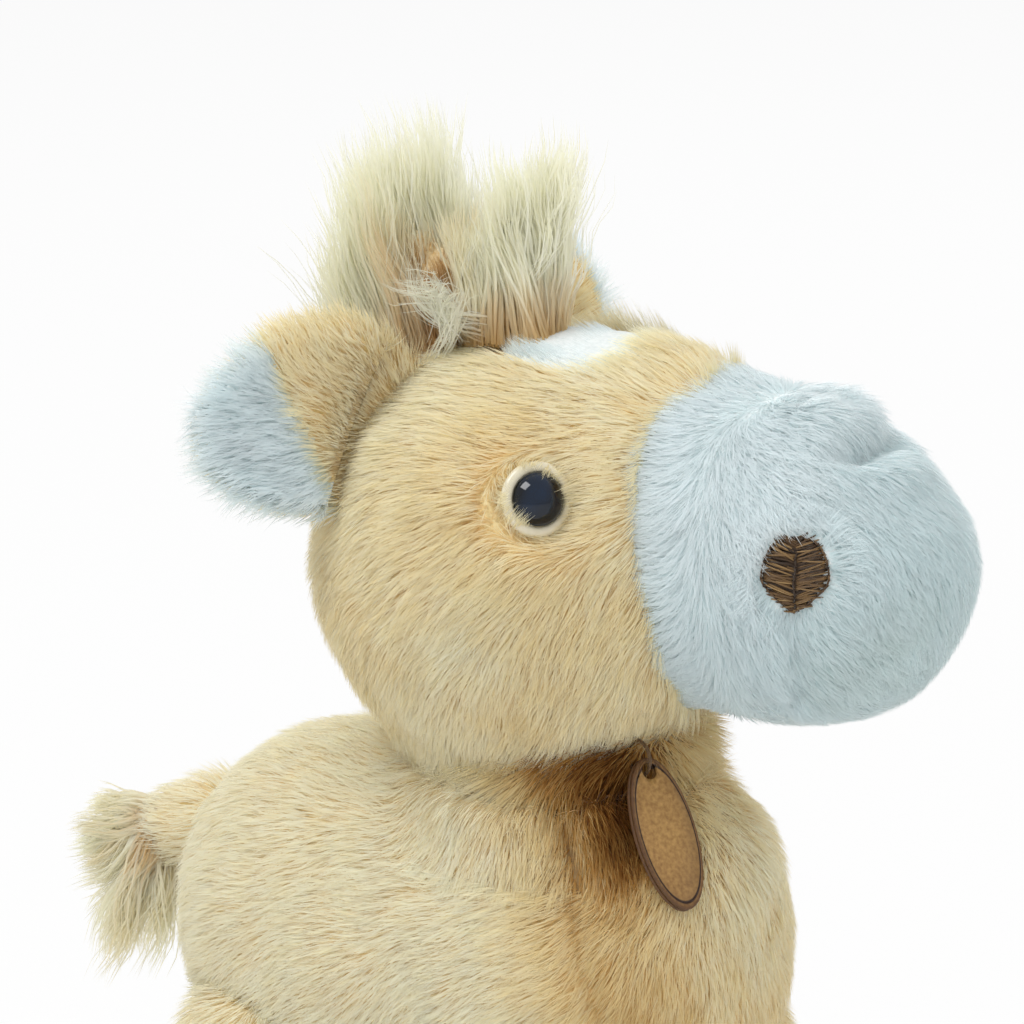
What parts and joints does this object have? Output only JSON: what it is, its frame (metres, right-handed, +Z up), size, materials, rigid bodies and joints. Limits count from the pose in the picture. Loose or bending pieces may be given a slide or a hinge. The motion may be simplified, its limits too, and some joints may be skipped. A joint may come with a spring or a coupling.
{
  "type": "plush toy foal",
  "caption": "Stuffed plush foal with a nodding, turning head, folding ears, swinging legs, a wagging tail and a leaf tag on a thread loop.",
  "frame": {"origin": "centre of the toy's box on the floor plane that the soles stand on", "axes": "+X from tail to nose, +Y to the foal's left, +Z up"},
  "size_m": [0.2212, 0.1008, 0.2881],
  "materials": {
    "plush_tan": "short-pile plush",
    "plush_white": "long-pile plush",
    "plush_cream": "long wavy pile",
    "stuffing": "loose polyester fibre",
    "suede": "brushed suedette",
    "eye_ring_plastic": "moulded, glossy",
    "eye_dome_plastic": "polished",
    "washer_plastic": "moulded",
    "satin_thread": "satin stitch",
    "tag_leather": "pressed, dark edge"
  },
  "bodies": {
    "torso": {"torso_skin": "plush_tan", "chest_skin": "plush_tan", "torso_stuffing": "stuffing"},
    "neck": {"neck_skin": "plush_tan", "neck_stuffing": "stuffing", "tag_loop": "satin_thread"},
    "head": {"head_skin": "plush_tan", "forehead_blaze": "plush_white", "muzzle_skin": "plush_white", "head_stuffing": "stuffing", "muzzle_stuffing": "stuffing", "eye_ring_right": "eye_ring_plastic", "eye_dome_right": "eye_dome_plastic", "eye_washer_right": "washer_plastic", "eye_ring_left": "eye_ring_plastic", "eye_dome_left": "eye_dome_plastic", "eye_washer_left": "washer_plastic", "nostril_right": "satin_thread", "nostril_left": "satin_thread", "mane_backing": "plush_cream", "mane_hair": "plush_cream"},
    "ear_right": {"ear_back_right": "plush_tan", "ear_lining_right": "plush_white"},
    "ear_left": {"ear_back_left": "plush_tan", "ear_lining_left": "plush_white"},
    "leg_front_right": {"leg_skin_front_right": "plush_tan", "leg_stuffing_front_right": "stuffing", "hoof_front_right": "suede", "sole_front_right": "suede"},
    "leg_front_left": {"leg_skin_front_left": "plush_tan", "leg_stuffing_front_left": "stuffing", "hoof_front_left": "suede", "sole_front_left": "suede"},
    "leg_hind_right": {"leg_skin_hind_right": "plush_tan", "leg_stuffing_hind_right": "stuffing", "hoof_hind_right": "suede", "sole_hind_right": "suede"},
    "leg_hind_left": {"leg_skin_hind_left": "plush_tan", "leg_stuffing_hind_left": "stuffing", "hoof_hind_left": "suede", "sole_hind_left": "suede"},
    "tail": {"tail_skin": "plush_tan", "tail_stuffing": "stuffing", "tail_tuft": "plush_cream"},
    "tag": {"tag_leaf_back": "tag_leather"},
    "tag_front": {"tag_leaf_front": "tag_leather"}
  },
  "joints": [
    {"name": "neck_turn", "type": "hinge", "parent": "torso", "child": "neck", "pos_m": [0.019, 0.00343, 0.15], "axis": [0, 0, 1], "range_deg": [-25, 25], "stiffness_Nm_per_rad": 1},
    {"name": "head_nod", "type": "hinge", "parent": "neck", "child": "head", "pos_m": [0.011, 0.00343, 0.19], "axis": [0, 1, 0], "range_deg": [-12, 12], "stiffness_Nm_per_rad": 1.5},
    {"name": "ear_right_fold", "type": "hinge", "parent": "head", "child": "ear_right", "pos_m": [-0.01746, -0.02029, 0.21941], "axis": [-0.1481, -0.4418, -0.8848], "range_deg": [-20, 20], "stiffness_Nm_per_rad": 0.05},
    {"name": "ear_left_fold", "type": "hinge", "parent": "head", "child": "ear_left", "pos_m": [-0.01746, 0.02714, 0.21941], "axis": [0.6967, 0.1206, -0.7072], "range_deg": [-20, 20], "stiffness_Nm_per_rad": 0.05},
    {"name": "leg_front_right_swing", "type": "hinge", "parent": "torso", "child": "leg_front_right", "pos_m": [0.039, -0.02307, 0.073], "axis": [0, 1, 0], "range_deg": [-20, 20], "stiffness_Nm_per_rad": 2},
    {"name": "leg_front_left_swing", "type": "hinge", "parent": "torso", "child": "leg_front_left", "pos_m": [0.039, 0.02993, 0.073], "axis": [0, 1, 0], "range_deg": [-20, 20], "stiffness_Nm_per_rad": 2},
    {"name": "leg_hind_right_swing", "type": "hinge", "parent": "torso", "child": "leg_hind_right", "pos_m": [-0.046, -0.02307, 0.073], "axis": [0, 1, 0], "range_deg": [-20, 20], "stiffness_Nm_per_rad": 2},
    {"name": "leg_hind_left_swing", "type": "hinge", "parent": "torso", "child": "leg_hind_left", "pos_m": [-0.046, 0.02993, 0.073], "axis": [0, 1, 0], "range_deg": [-20, 20], "stiffness_Nm_per_rad": 2},
    {"name": "tail_wag", "type": "hinge", "parent": "torso", "child": "tail", "pos_m": [-0.071, 0.00343, 0.117], "axis": [0, 0, 1], "range_deg": [-25, 25], "stiffness_Nm_per_rad": 0.1},
    {"name": "tag_swing", "type": "hinge", "parent": "neck", "child": "tag", "pos_m": [0.04747, -0.01651, 0.1504], "axis": [0.4384, 0.8988, 0], "range_deg": [-35, 0]},
    {"name": "tag_open", "type": "hinge", "parent": "tag", "child": "tag_front", "pos_m": [0.0462, -0.01589, 0.15305], "axis": [0.4384, 0.8988, 0], "range_deg": [-50, 0]}
  ]
}
